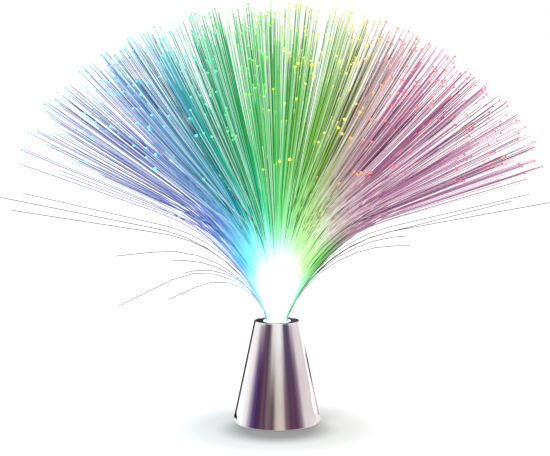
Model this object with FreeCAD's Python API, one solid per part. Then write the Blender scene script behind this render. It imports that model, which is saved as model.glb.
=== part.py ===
import FreeCAD, Part
import math
import os

# Battery lamp: a spray of plastic light-guide fibres stands in a chrome cone base.
# Millimetres, +Z up. The origin is the centre of the ring that the base stands on.
# A row of four coloured LEDs under the ferrule runs along X, so the fibres take their colours
# in bands from left to right. Pull the ferrule straight up and the whole spray comes out.

Vector = FreeCAD.Vector
UP = Vector(0, 0, 1)

# ---- Base shell: a thin plated cone, open below, with a round opening above ----
top_dia = 36.0
shell_height = 81.5
shell_wall = 1.6
lip_radius = 0.7            # rounding of the shell's top edge
glue_gap = 0.05             # clearance all round a piece that is glued or pressed in

# ---- Top collar: black ring with the socket for the ferrule ----
collar_recess = 0.6         # its face lies this far below the shell's top
collar_plate = 2.5
collar_skirt = 12.0
collar_wall = 1.6
socket_wall = 1.8
socket_clearance = 0.1      # ferrule to socket, on the radius
leg_dia = 5.4               # pillars that the LED board is screwed to
leg_length = 8.0
leg_overlap = 0.8           # the pillars are moulded into the socket tube by this much
blind_end = 1.0             # wall or room beyond a screw hole's end

# ---- Ferrule and fibres ----
ferrule_dia = 21.6
ferrule_length = 28.0
ferrule_proud = 0.5         # its face stands this far above the collar's
bundle_bore = 17.0
mouth_depth = 2.0           # flare of the bore where the fibres begin to lean
mouth_flare = 0.6
key_width = 3.0
key_depth = 1.0
key_clearance = 0.1
fibre_dia = 0.5             # of the circle that the fibre's section fits in
fibre_sides = 6             # the section is a polygon, which keeps hundreds of fibres light
fibre_gap = 0.02            # between neighbours in the bundle
fibre_length = 250.0        # free length of the longest ones, above the ferrule
length_scatter = 0.16       # the shortest are this share shorter
mouth_bend_length = 10.0    # stretch over which a fibre takes its first lean
mouth_bend = 26.0           # degrees, for a fibre at the rim of the bundle
arch_length = 125.0         # stretch over which it goes on bending
arch_bend = 46.0            # degrees
rim_reserve = 0.16          # share of the bend that only the outermost fibres take
rim_power = 6               # the higher, the fewer fibres take it
tuft_count = 7              # the spray is a little uneven all round
tuft_depth = 0.02
lopside = 0.03              # it leans this share further out towards +X, and less towards -X
lock_count = 150            # fibres cling together in this many locks
lock_pull = 0.4             # how far a fibre is drawn towards its lock's middle
lock_shake = 0.7            # unevenness of the locks, as a share of their spacing
swirl = 10.0                # degrees that rings of the bundle are turned, one way and then the other
swirl_waves = 1.5           # from the bundle's middle to its rim
band_edges = (-28.0, 4.0, 21.0)     # degrees from upright, seen along Y, where the next LED's fibres begin

# Loose fibres that lean out further than the spray or droop under it:
# azimuth, total bend (degrees), bend radius, straight end
loose_fibres = [
    (180, 96, 85, 32),
    (191, 93, 75, 2),
    (184, 116, 55, 45),
    (168, 107, 54, 2),
    (174, 115, 40, 25),
    (2, 86, 105, 6),
    (-7, 89, 95, 10),
    (162, 80, 118, 128),
    (197, 77, 128, 130),
    (203, 79, 122, 118),
    (9, 77, 112, 108),
    (-16, 78, 125, 130),
    (15, 79, 118, 122),
]

# ---- LED board, under the socket ----
hood_height = 7.4           # from the board to the fibres' polished feet
hood_wall = 2.2
board_thickness = 1.6
board_margin = 0.6          # board beyond its pillars
led_dia = 3.0
led_height = 5.3
led_flange = 0.4
led_flange_height = 1.0
led_pitch = 4.0
lead_dia = 0.5
lead_pitch = 2.54
lead_tail = 1.8
lead_hole_clearance = 0.1
board_screw_dia = 2.0
board_screw_length = 6.0
chip_size = (5.0, 4.0, 1.5)
chip_place = (6.5, -7.0)
chip_leg = (0.4, 1.0, 0.6)  # width along the chip, length out of it, height
resistor_size = (2.0, 1.2, 0.5)
resistor_place = (-8.0, -6.0)
resistor_pitch = 2.4

# ---- Bottom cover with battery tub ----
cover_recess = 1.2          # the cover lies this far above the table
cover_plate = 2.0
cover_clearance = 0.1
cell_dia = 10.5
cell_length = 44.5
cell_nub_dia = 3.8
cell_nub_length = 0.8
cell_gap = 0.3
cell_lift = 0.3             # from the door to the cells, and from the cells to the tub's roof
tub_wall = 1.4
tub_corner = 2.6            # chamfer of the tub's upright corners outside, which clears the cone
tub_corner_inside = 1.4
tub_clearance = 0.17145     # from the tub's upper corners to the cone, which brings the foot to 70 mm
contact_thickness = 0.4
contact_width = 6.5
contact_margin = 0.9        # contact's upper edge under the tub's roof
contact_foot = 2.4          # contact's lower edge above the cover plate
solder_tab_width = 2.0
solder_tab_rise = 2.0
tab_slot_width = 1.6        # slot in the tub's roof that a solder tab passes through
spring_length = 3.5
spring_dia = 5.6
spring_wire = 0.6
spring_turns = 3.75
spring_points = 10          # points of the coil's line in each turn

boss_dia = 6.0
boss_height = 12.8
boss_inset = 2.9            # from the shell's inner face at the cover to the boss's axis
boss_azimuths = (60, 120, 240, 300)
boss_web = 2.0
cover_screw_dia = 2.4
cover_screw_length = 8.0
screw_fit = 0.05            # screw to its hole, on the radius
screw_slack = 0.2           # screw to the piece that it clamps, on the radius
head_ratio = 1.9            # head's diameter over the shank's
head_height_ratio = 0.6
drive_width = 0.5           # arms of the cross recess
drive_reach = 0.55          # arms' length, as a share of the head's radius
drive_depth = 0.6           # recess's depth, as a share of the head's height
counterbore_depth = 1.0

# ---- Battery door ----
door_gap = 0.2              # round the door, in the cover's plane
door_step = 0.1             # door's inner face below the cover's
hook_width = 6.0
hook_place = 9.0            # hooks' centres to either side of the middle
hook_root = 1.6
hook_reach = 1.6
hook_thickness = 1.2
hook_clearance = 0.15
hook_window = 3.4           # height of the window in the tub's wall
tongue_width = 8.0
tongue_margin = 2.9         # tongue's end beyond the screw
tongue_pad = 1.8
pad_margin = 0.7            # pad beyond the recess for the tongue
door_screw_dia = 1.9
door_screw_length = 6.0
door_boss_dia = 4.8
door_boss_height = 7.2
door_boss_overlap = 0.4     # the boss is moulded into the tub's end wall by this much

# ---- Slide switch ----
switch_size = (9.0, 4.4, 3.5)
switch_wall = 0.3
switch_y = 24.0
slider_base = (4.6, 3.4, 1.6)
slider_knob = (3.0, 1.8)
slider_clearance = 0.1
knob_recess = 0.6           # knob's tip above the table
switch_travel = 2.5
cradle_wall = 1.2
cradle_height = 3.0
terminal_size = (0.8, 0.5, 3.0)
terminal_pitch = 2.5

# ---- Hook-up wires, held inside the base ----
wire_dia = 1.2

# ---- Heights that the pieces share ----
collar_top = shell_height - collar_recess
collar_under = collar_top - collar_plate
ferrule_top = collar_top + ferrule_proud
ferrule_foot = ferrule_top - ferrule_length
board_top = ferrule_foot - hood_height
board_under = board_top - board_thickness
cover_top = cover_recess + cover_plate
door_top = cover_top - door_step
cell_axis = cover_top + cell_lift + cell_dia / 2
tub_roof = cell_axis + cell_dia / 2 + cell_lift
tub_top = tub_roof + tub_wall

# ---- Plan sizes that the pieces share ----
ferrule_radius = ferrule_dia / 2
socket_radius = ferrule_radius + socket_clearance
socket_outer = socket_radius + socket_wall
leg_place = socket_outer + leg_dia / 2 - leg_overlap
board_radius = leg_place + leg_dia / 2 + board_margin
cell_pitch = cell_dia + cell_gap
tub_length = cell_length + spring_length + 2 * contact_thickness
tub_width = 3 * cell_dia + 4 * cell_gap
tub_x = tub_length / 2 + tub_wall
tub_y = tub_width / 2 + tub_wall
tub_reach = max(math.hypot(tub_x, tub_y - tub_corner), math.hypot(tub_x - tub_corner, tub_y))

# ---- The cone's slope: from its top edge past the tub's upper corners ----
slope_across = tub_reach + tub_clearance - top_dia / 2
slope_down = shell_height - tub_top
side_lean = math.atan2(slope_across, slope_down) + math.asin(shell_wall / math.hypot(slope_across, slope_down))
taper = math.tan(side_lean)
wall_across = shell_wall * math.hypot(1, taper)
base_dia = top_dia + 2 * taper * shell_height
boss_circle = base_dia / 2 - taper * cover_top - wall_across - boss_inset
door_screw_x = tub_length / 2 + tub_wall + door_boss_dia / 2 - door_boss_overlap
bundle_reach = bundle_bore / 2 - fibre_dia / 2 - glue_gap


def shell_outer(z):
    """Outer radius of the cone at height z."""
    return base_dia / 2 - taper * z


def shell_inner(z):
    """Inner radius of the cone at height z."""
    return shell_outer(z) - wall_across


def cylinder(radius, z0, z1, x=0.0, y=0.0):
    return Part.makeCylinder(radius, z1 - z0, Vector(x, y, z0))


def block(x0, x1, y0, y1, z0, z1):
    return Part.makeBox(x1 - x0, y1 - y0, z1 - z0, Vector(x0, y0, z0))


def cone_between(radius_at, z0, z1):
    """Solid cone frustum whose radius at each end comes from a function of height."""
    return Part.makeCone(radius_at(z0), radius_at(z1), z1 - z0, Vector(0, 0, z0))


def save(name, *solids):
    """One STEP file per sub-part; pieces that come as a set are separate solids in it."""
    shape = solids[0] if len(solids) == 1 else Part.makeCompound(list(solids))
    shape.exportStep(f"parts/{name}.step")
    volume = sum(solid.Volume for solid in shape.Solids)
    print(f"{name}: {len(shape.Solids)} solids, {volume:.1f} mm3, valid {shape.isValid()}")


def polar(radius, degrees):
    angle = math.radians(degrees)
    return radius * math.cos(angle), radius * math.sin(angle)


def boss_places():
    return [polar(boss_circle, azimuth) for azimuth in boss_azimuths]


# ---- Base ----

def base_shell():
    """Plated cone with four screw bosses moulded inside its foot."""
    outside = cone_between(shell_outer, 0, shell_height)
    shell = outside.cut(cone_between(shell_inner, 0, shell_height))
    rim = [edge for edge in shell.Edges
           if abs(edge.BoundBox.ZMin - shell_height) < 1e-6 and abs(edge.BoundBox.XMax - top_dia / 2) < 1e-6]
    shell = shell.makeFillet(lip_radius, rim)
    boss_top = cover_top + boss_height
    for (x, y), azimuth in zip(boss_places(), boss_azimuths):
        web = block(boss_circle, shell_outer(cover_top), -boss_web / 2, boss_web / 2, cover_top, boss_top)
        web.rotate(Vector(), UP, azimuth)
        boss = cylinder(boss_dia / 2, cover_top, boss_top, x, y).fuse(web).common(outside)
        shell = shell.fuse(boss)
    for x, y in boss_places():
        depth = cover_recess + counterbore_depth + cover_screw_length + blind_end
        shell = shell.cut(cylinder(cover_screw_dia / 2 + screw_fit, 0, depth, x, y))
    return shell.removeSplitter()


def top_collar():
    """Black ring in the cone's opening: face plate, skirt against the cone, socket tube and two pillars."""
    def rim_radius(z):
        return shell_inner(z) - glue_gap

    def skirt_inside(z):
        return rim_radius(z) - collar_wall

    skirt_foot = collar_under - collar_skirt
    plate = cone_between(rim_radius, collar_under, collar_top)
    skirt = cone_between(rim_radius, skirt_foot, collar_under)
    skirt = skirt.cut(cone_between(skirt_inside, skirt_foot, collar_under))
    collar = plate.fuse([skirt, cylinder(socket_outer, board_top, collar_top)])
    leg_top = board_top + leg_length
    for side in (-1, 1):
        collar = collar.fuse(cylinder(leg_dia / 2, board_top, leg_top, 0, side * leg_place))
    collar = collar.cut(cylinder(socket_radius, board_top, collar_top))
    for side in (-1, 1):
        hole = cylinder(board_screw_dia / 2 + screw_fit, board_top, leg_top - blind_end, 0, side * leg_place)
        collar = collar.cut(hole)
    half = key_width / 2 + key_clearance
    groove = block(-half, half, 0, ferrule_radius + key_depth + key_clearance, ferrule_foot, collar_top)
    return collar.cut(groove.cut(cylinder(socket_radius, ferrule_foot, collar_top)))


def light_hood():
    """White cup that keeps the LEDs' light on the fibres' feet."""
    hood = cylinder(ferrule_radius, board_top, ferrule_foot)
    return hood.cut(cylinder(ferrule_radius - hood_wall, board_top, ferrule_foot))


# ---- Ferrule and fibres ----

def ferrule():
    """White sleeve round the bundle, with a key that stops it turning in the socket."""
    body = cylinder(ferrule_radius, ferrule_foot, ferrule_top)
    half = key_width / 2
    key = block(-half, half, 0, ferrule_radius + key_depth, ferrule_foot, collar_top)
    body = body.fuse(key).cut(cylinder(bundle_bore / 2, ferrule_foot, ferrule_top))
    mouth = Part.makeCone(bundle_bore / 2, bundle_bore / 2 + mouth_flare, mouth_depth,
                          Vector(0, 0, ferrule_top - mouth_depth))
    return body.cut(mouth)


class Strand:
    """A fibre's centre line, drawn from its foot in one upright plane: straight runs and tangent arcs."""

    def __init__(self, x, y, z, azimuth):
        self.place = Vector(x, y, z)
        self.out = Vector(math.cos(azimuth), math.sin(azimuth), 0)
        self.lean = 0.0
        self.edges = []

    def straight(self, length):
        tip = self.place + (self.out * math.sin(self.lean) + UP * math.cos(self.lean)) * length
        self.edges.append(Part.LineSegment(self.place, tip).toShape())
        self.place = tip

    def arc(self, length, bend):
        """Arc of this length that leans the fibre outward by bend more radians."""
        radius = length / bend

        def after(turned):
            lean = self.lean + turned
            across = radius * (math.cos(self.lean) - math.cos(lean))
            along = radius * (math.sin(lean) - math.sin(self.lean))
            return self.place + self.out * across + UP * along

        end = after(bend)
        self.edges.append(Part.Arc(self.place, after(bend / 2), end).toShape())
        self.place = end
        self.lean += bend

    def solid(self):
        path = Part.Wire(self.edges)
        start = path.OrderedVertexes[0].Point
        azimuth = math.degrees(math.atan2(self.out.y, self.out.x))
        corners = []
        for side in range(fibre_sides):
            x, y = polar(fibre_dia / 2, azimuth + 360 * side / fibre_sides)
            corners.append(start + Vector(x, y, 0))
        section = Part.makePolygon(corners + corners[:1])
        return path.makePipeShell([section], True, True)


def bundle_places():
    """Fibre centres in the ferrule: a hexagonal lattice trimmed to the bore.

    The bundle's axis runs between three fibres, so no fibre stands on it.
    """
    pitch = fibre_dia + fibre_gap
    row_height = pitch * math.sqrt(3) / 2
    rows = int(bundle_reach / row_height) + 1
    columns = int(bundle_reach / pitch) + 1
    places = []
    for row in range(-rows, rows + 1):
        shift = 0.0 if row % 2 else pitch / 2
        y = (row - 1 / 3) * row_height
        for column in range(-columns, columns + 1):
            x = column * pitch + shift
            if math.hypot(x, y) <= bundle_reach:
                places.append((x, y))
    return places


def scatter(x, y):
    """A fixed number from 0 to 1 for each place in the bundle, with no visible order."""
    value = math.sin(x * 12.9898 + y * 78.233) * 43758.5453
    return value - math.floor(value)


def lock_middles():
    """Where the locks point, in a disc whose rim is the full bend: a sunflower's spiral, shaken a little."""
    middles = []
    for index in range(lock_count):
        x, y = polar(math.sqrt((index + 0.5) / lock_count), 137.508 * index)
        shake = lock_shake / math.sqrt(lock_count)
        middles.append((x + shake * (2 * scatter(index, 1) - 1), y + shake * (2 * scatter(index, 2) - 1)))
    return middles


def way_out(x, y):
    """(azimuth in radians, share of the full bend) of the fibre at this place in the bundle.

    A fibre leans the further, the nearer it stands to the bundle's rim, and is drawn to the nearest lock.
    """
    azimuth = math.atan2(y, x)
    place = math.hypot(x, y) / bundle_reach
    share = place * (1 - rim_reserve + rim_reserve * place ** rim_power)
    share *= (1 + tuft_depth * math.sin(tuft_count * azimuth)) * (1 + lopside * math.cos(azimuth))
    azimuth += math.radians(swirl) * math.sin(2 * math.pi * swirl_waves * place)
    out_x, out_y = share * math.cos(azimuth), share * math.sin(azimuth)
    lock_x, lock_y = min(locks, key=lambda lock: math.dist(lock, (out_x, out_y)))
    out_x += lock_pull * (lock_x - out_x)
    out_y += lock_pull * (lock_y - out_y)
    return math.atan2(out_y, out_x), math.hypot(out_x, out_y)


locks = lock_middles()


def band_of(x, y):
    """Which of the four LEDs lights this fibre: the feet are sorted by how far the fibres lean along X."""
    azimuth, share = way_out(x, y)
    lean = math.radians(mouth_bend + arch_bend) * share
    seen = math.degrees(math.atan2(math.sin(lean) * math.cos(azimuth), math.cos(lean)))
    return sum(seen > edge for edge in band_edges)


def spray_fibre(x, y):
    azimuth, share = way_out(x, y)
    strand = Strand(x, y, ferrule_foot, azimuth)
    strand.straight(ferrule_length - mouth_depth)
    strand.arc(mouth_bend_length, math.radians(mouth_bend) * share)
    strand.arc(arch_length, math.radians(arch_bend) * share)
    free = fibre_length * (1 - length_scatter * scatter(x, y) ** 2)
    strand.straight(free + mouth_depth - mouth_bend_length - arch_length)
    return strand.solid()


def loose_fibre(x, y, bend, radius, end):
    """A loose fibre bends more tightly than the spray, so it lies below it."""
    strand = Strand(x, y, ferrule_foot, math.atan2(y, x))
    strand.straight(ferrule_length - mouth_depth)
    strand.arc(mouth_bend_length, math.radians(mouth_bend))
    rest = math.radians(bend - mouth_bend)
    strand.arc(radius * rest, rest)
    strand.straight(end)
    return strand.solid()


def fibres():
    """The fibres in four bands, one for each LED, and the loose ones apart."""
    places = bundle_places()
    loose = []
    for azimuth, bend, radius, end in loose_fibres:
        x, y = polar(bundle_reach, azimuth)
        place = min(places, key=lambda spot: math.hypot(spot[0] - x, spot[1] - y))
        places.remove(place)
        loose.append(loose_fibre(*place, bend, radius, end))
    bands = [[], [], [], []]
    for x, y in places:
        bands[band_of(x, y)].append(spray_fibre(x, y))
    return bands, loose


# ---- LED board ----

def led_places():
    return [(index - 1.5) * led_pitch for index in range(4)]


def led_board():
    board = cylinder(board_radius, board_under, board_top)
    for side in (-1, 1):
        hole = cylinder(board_screw_dia / 2 + screw_slack, board_under, board_top, 0, side * leg_place)
        board = board.cut(hole)
    for x in led_places():
        for side in (-1, 1):
            hole = cylinder(lead_dia / 2 + lead_hole_clearance, board_under, board_top, x, side * lead_pitch / 2)
            board = board.cut(hole)
    return board


def led(x):
    """Round LED: flange on the board, straight side and a domed end."""
    radius = led_dia / 2
    flange = cylinder(radius + led_flange, board_top, board_top + led_flange_height, x)
    dome_centre = board_top + led_height - radius
    side = cylinder(radius, board_top, dome_centre, x)
    return flange.fuse([side, Part.makeSphere(radius, Vector(x, 0, dome_centre))])


def led_leads():
    foot = board_under - lead_tail
    return [cylinder(lead_dia / 2, foot, board_top, x, side * lead_pitch / 2)
            for x in led_places() for side in (-1, 1)]


def driver_chip():
    """Chip under the board, with four legs to each side."""
    length, width, height = chip_size
    leg_width, leg_reach, leg_height = chip_leg
    x, y = chip_place
    body = block(x - length / 2, x + length / 2, y - width / 2, y + width / 2, board_under - height, board_under)
    legs = []
    for index in range(4):
        leg_x = x + (index - 1.5) * length / 4
        for side in (-1, 1):
            edge = y + side * width / 2
            far = edge + side * leg_reach
            legs.append(block(leg_x - leg_width / 2, leg_x + leg_width / 2, min(edge, far), max(edge, far),
                              board_under - leg_height, board_under))
    return [body] + legs


def resistors():
    length, width, height = resistor_size
    x, first = resistor_place
    return [block(x - length / 2, x + length / 2, y - width / 2, y + width / 2, board_under - height, board_under)
            for y in (first + index * resistor_pitch for index in range(4))]


# ---- Screws ----

def cross_recess(head_radius, head_height, x, y, foot):
    """The cross that a driver fits, cut upwards from the head's face at height foot."""
    arm = head_radius * drive_reach
    half = drive_width / 2
    top = foot + head_height * drive_depth
    slot = block(x - arm, x + arm, y - half, y + half, foot, top)
    return slot.fuse(block(x - half, x + half, y - arm, y + arm, foot, top))


def pan_screw(dia, length, x, y, seat):
    """Pan-head screw with a cross recess, driven from below; its head bears on height seat."""
    head_radius = dia * head_ratio / 2
    head_height = dia * head_height_ratio
    foot = seat - head_height
    head = Part.makeCone(head_radius - head_height / 3, head_radius, head_height / 3, Vector(x, y, foot))
    head = head.fuse(cylinder(head_radius, foot + head_height / 3, seat, x, y))
    screw = head.fuse(cylinder(dia / 2, seat, seat + length, x, y))
    return screw.cut(cross_recess(head_radius, head_height, x, y, foot))


def flat_screw(dia, length, x, y, foot):
    """Countersunk screw with a cross recess; its head's face lies at height foot."""
    head_radius = dia * head_ratio / 2
    head_height = head_radius - dia / 2
    head = Part.makeCone(head_radius, dia / 2, head_height, Vector(x, y, foot))
    screw = head.fuse(cylinder(dia / 2, foot, foot + length, x, y))
    return screw.cut(cross_recess(head_radius, head_height, x, y, foot))


def board_screws():
    return [pan_screw(board_screw_dia, board_screw_length, 0, side * leg_place, board_under)
            for side in (-1, 1)]


def cover_screws():
    seat = cover_recess + counterbore_depth
    return [pan_screw(cover_screw_dia, cover_screw_length, x, y, seat) for x, y in boss_places()]


# ---- Bottom cover ----

def tub_plan(grow, corner, z0, z1):
    """Upright block over the cells' room, grown by this much on all sides, with chamfered corners."""
    x = tub_length / 2 + grow
    y = tub_width / 2 + grow
    corners = [(x - corner, y), (-x + corner, y), (-x, y - corner), (-x, -y + corner),
               (-x + corner, -y), (x - corner, -y), (x, -y + corner), (x, y - corner)]
    points = [Vector(px, py, z0) for px, py in corners]
    return Part.Face(Part.makePolygon(points + points[:1])).extrude(UP * (z1 - z0))


def bottom_cover():
    """Black plate that closes the cone, with the battery tub, the door screw's boss and the switch's cradle."""
    def edge_radius(z):
        return shell_inner(z) - cover_clearance

    cover = cone_between(edge_radius, cover_recess, cover_top)
    cover = cover.fuse(tub_plan(tub_wall, tub_corner, cover_top, tub_top))
    tongue_end = door_screw_x + tongue_margin + door_gap
    half = tongue_width / 2 + door_gap
    pad = block(tub_length / 2, tongue_end + pad_margin, -half - tub_wall, half + tub_wall,
                cover_top, cover_top + tongue_pad)
    boss = cylinder(door_boss_dia / 2, cover_top, cover_top + door_boss_height, door_screw_x)
    cover = cover.fuse([pad, boss])
    cover = cover.cut(tub_plan(0, tub_corner_inside, cover_recess, tub_roof))
    cover = cover.cut(block(0, tongue_end, -half, half, cover_recess, cover_top))
    screw_hole = cylinder(door_screw_dia / 2 + screw_fit, cover_top, cover_top + door_boss_height - blind_end,
                          door_screw_x)
    cover = cover.cut(screw_hole)
    for side in (-1, 1):
        window_y = side * hook_place
        reach = hook_width / 2 + door_gap
        window = block(-tub_length / 2 - tub_wall, -tub_length / 2, window_y - reach, window_y + reach,
                       cover_top, cover_top + hook_window)
        cover = cover.cut(window)
    for x, y in boss_places():
        head_radius = cover_screw_dia * head_ratio / 2 + screw_slack
        counterbore = cylinder(head_radius, cover_recess, cover_recess + counterbore_depth, x, y)
        shank = cylinder(cover_screw_dia / 2 + screw_slack, cover_recess, cover_top, x, y)
        cover = cover.cut([counterbore, shank])
    for x, y in solder_tab_places():
        slot = block(x - tab_slot_width / 2, x + tab_slot_width / 2,
                     y - solder_tab_width / 2 - door_gap, y + solder_tab_width / 2 + door_gap, tub_roof, tub_top)
        cover = cover.cut(slot)
    return add_switch_cradle(cover)


def add_switch_cradle(cover):
    """Two upright walls that hold the switch's ends, and the knob's slot between them."""
    length, width = switch_size[:2]
    inner = length / 2 + glue_gap
    walls = []
    for side in (-1, 1):
        near = side * inner
        far = side * (inner + cradle_wall)
        walls.append(block(min(near, far), max(near, far), switch_y - width / 2, switch_y + width / 2,
                           cover_top, cover_top + cradle_height))
    reach_x = slider_knob[0] / 2 + switch_travel / 2 + slider_clearance
    reach_y = slider_knob[1] / 2 + slider_clearance
    slot = block(-reach_x, reach_x, switch_y - reach_y, switch_y + reach_y, cover_recess, cover_top)
    return cover.fuse(walls).cut(slot)


# ---- Switch ----

def switch_case():
    """Pressed metal can, open towards the cover."""
    length, width, height = switch_size
    can = block(-length / 2, length / 2, switch_y - width / 2, switch_y + width / 2, cover_top, cover_top + height)
    x = slider_base[0] / 2 + switch_travel / 2 + slider_clearance
    y = slider_base[1] / 2 + slider_clearance
    return can.cut(block(-x, x, switch_y - y, switch_y + y, cover_top, cover_top + height - switch_wall))


def switch_slider():
    """Black slider at its ON end: a wide base inside the can and a knob through the cover."""
    length, width, height = slider_base
    x = switch_travel / 2
    foot = cover_top + slider_clearance
    base = block(x - length / 2, x + length / 2, switch_y - width / 2, switch_y + width / 2, foot, foot + height)
    knob_x, knob_y = slider_knob
    knob = block(x - knob_x / 2, x + knob_x / 2, switch_y - knob_y / 2, switch_y + knob_y / 2, knob_recess, foot)
    return base.fuse(knob)


def terminal_places():
    return [(index - 1) * terminal_pitch for index in range(3)]


def switch_terminals():
    length, width, height = terminal_size
    foot = cover_top + switch_size[2]
    return [block(x - length / 2, x + length / 2, switch_y - width / 2, switch_y + width / 2, foot, foot + height)
            for x in terminal_places()]


# ---- Cells and contacts ----

def cell(y, plus_side):
    """AAA cell along X; plus_side is 1 where its button points to +X."""
    end = plus_side * (tub_length / 2 - contact_thickness)
    axis = Vector(-plus_side, 0, 0)
    nub = Part.makeCylinder(cell_nub_dia / 2, cell_nub_length, Vector(end, y, cell_axis), axis)
    shoulder = end - plus_side * cell_nub_length
    can = Part.makeCylinder(cell_dia / 2, cell_length - cell_nub_length, Vector(shoulder, y, cell_axis), axis)
    return can.fuse(nub)


def cell_rows():
    """(y, plus_side) of the three cells; neighbours point opposite ways."""
    return [(-cell_pitch, 1), (0.0, -1), (cell_pitch, 1)]


def end_strip(side, y0, y1, z0, z1):
    """Flat strip of contact metal on the tub's end wall at this side."""
    wall = side * tub_length / 2
    face = wall - side * contact_thickness
    return block(min(wall, face), max(wall, face), y0, y1, z0, z1)


def contact_plate(side, y0, y1):
    return end_strip(side, y0, y1, cover_top + contact_foot, tub_roof - contact_margin)


def solder_tab_places():
    """Where the two end contacts pass through the tub's roof."""
    x = tub_length / 2 - contact_thickness / 2
    return [(-x, -cell_pitch), (x, cell_pitch)]


def end_contact(side, y):
    """Contact under one cell, with a solder tab through the roof."""
    plate = contact_plate(side, y - contact_width / 2, y + contact_width / 2)
    tab = end_strip(side, y - solder_tab_width / 2, y + solder_tab_width / 2,
                    tub_roof - contact_margin, tub_top + solder_tab_rise)
    return plate.fuse(tab).removeSplitter()


def round_bar(points, dia):
    """Round bar along straight runs joined by tangent arcs, each arc as large as its runs allow."""
    points = [Vector(*point) for point in points]
    runs = [(b - a).Length for a, b in zip(points, points[1:])]
    edges = []
    radii = []
    start = points[0]
    for index in range(1, len(points) - 1):
        corner = points[index]
        back = (points[index - 1] - corner).normalize()
        ahead = (points[index + 1] - corner).normalize()
        turn = math.pi - back.getAngle(ahead)
        reach = 0.45 * min(runs[index - 1], runs[index])
        radius = reach / math.tan(turn / 2)
        first = corner + back * reach
        last = corner + ahead * reach
        middle_way = (back + ahead).normalize()
        middle = corner + middle_way * (radius / math.cos(turn / 2) - radius)
        edges.append(Part.LineSegment(start, first).toShape())
        edges.append(Part.Arc(first, middle, last).toShape())
        start = last
        radii.append(radius)
    edges.append(Part.LineSegment(start, points[-1]).toShape())
    path = Part.Wire(edges)
    section = Part.Wire([Part.makeCircle(dia / 2, points[0], (points[1] - points[0]).normalize())])
    solid = path.makePipeShell([section], True, True)
    share = solid.Volume / (math.pi * dia ** 2 / 4 * path.Length)
    print(f"  bar length {path.Length:.1f}, least radius {min(radii):.1f}, volume over section times length {share:.4f}")
    return solid


def contact_springs():
    """A coil behind each cell's flat end."""
    coils = []
    rise = spring_length - spring_wire
    radius = (spring_dia - spring_wire) / 2
    steps = round(spring_turns * spring_points)
    line = []
    for step in range(steps + 1):
        x, y = polar(radius, 360 * spring_turns * step / steps)
        line.append((x, y, rise * step / steps))
    for y, plus_side in cell_rows():
        coil = round_bar(line, spring_wire)
        coil.rotate(Vector(), Vector(0, 1, 0), 90 * plus_side)
        wall = -plus_side * (tub_length / 2 - contact_thickness - spring_wire / 2)
        coil.translate(Vector(wall, y, cell_axis))
        coils.append(coil)
    return coils


# ---- Door ----

def battery_door():
    """Door over the tub: two hooks under the cover at -X, a screwed tongue at +X."""
    door = tub_plan(-door_gap, tub_corner_inside, cover_recess, door_top)
    half = tongue_width / 2
    tongue = block(0, door_screw_x + tongue_margin, -half, half, cover_recess, door_top)
    door = door.fuse(tongue)
    edge = -tub_length / 2 + door_gap
    hook_under = cover_top + hook_clearance
    for side in (-1, 1):
        y0 = side * hook_place - hook_width / 2
        y1 = y0 + hook_width
        root = block(edge, edge + hook_root, y0, y1, door_top, hook_under + hook_thickness)
        nose = block(edge - hook_reach, edge, y0, y1, hook_under, hook_under + hook_thickness)
        door = door.fuse([root, nose])
    head_radius = door_screw_dia * head_ratio / 2 + screw_slack
    sink = Part.makeCone(head_radius, door_screw_dia / 2 + screw_slack, head_radius - door_screw_dia / 2 - screw_slack,
                         Vector(door_screw_x, 0, cover_recess))
    hole = cylinder(door_screw_dia / 2 + screw_slack, cover_recess, door_top, door_screw_x)
    return door.cut([sink, hole]).removeSplitter()


def door_screw():
    return flat_screw(door_screw_dia, door_screw_length, door_screw_x, 0, cover_recess)


# ---- Wires ----

def wires():
    """From the cells' ends to the switch and the board, and from the switch to the board."""
    tab_top = tub_top + solder_tab_rise
    (minus_x, minus_y), (plus_x, plus_y) = solder_tab_places()
    terminal_top = cover_top + switch_size[2] + terminal_size[2]
    off_x, middle_x, on_x = terminal_places()
    plus_wire = round_bar([
        (plus_x, plus_y, tab_top), (plus_x, plus_y, tab_top + 6), (19, 17, tab_top + 12),
        (9, 22, tab_top + 12), (on_x, switch_y, tab_top + 5), (on_x, switch_y, terminal_top)], wire_dia)
    switch_wire = round_bar([
        (middle_x, switch_y, terminal_top), (middle_x, switch_y, terminal_top + 9),
        (1, 20, terminal_top + 18), (4, 12, terminal_top + 26), (4, 12, board_under)], wire_dia)
    minus_wire = round_bar([
        (minus_x, minus_y, tab_top), (minus_x, minus_y, tab_top + 6), (-18, -10, tab_top + 13),
        (-11, -11, tab_top + 18), (-11, -11, board_under)], wire_dia)
    return plus_wire, switch_wire, minus_wire


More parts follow.
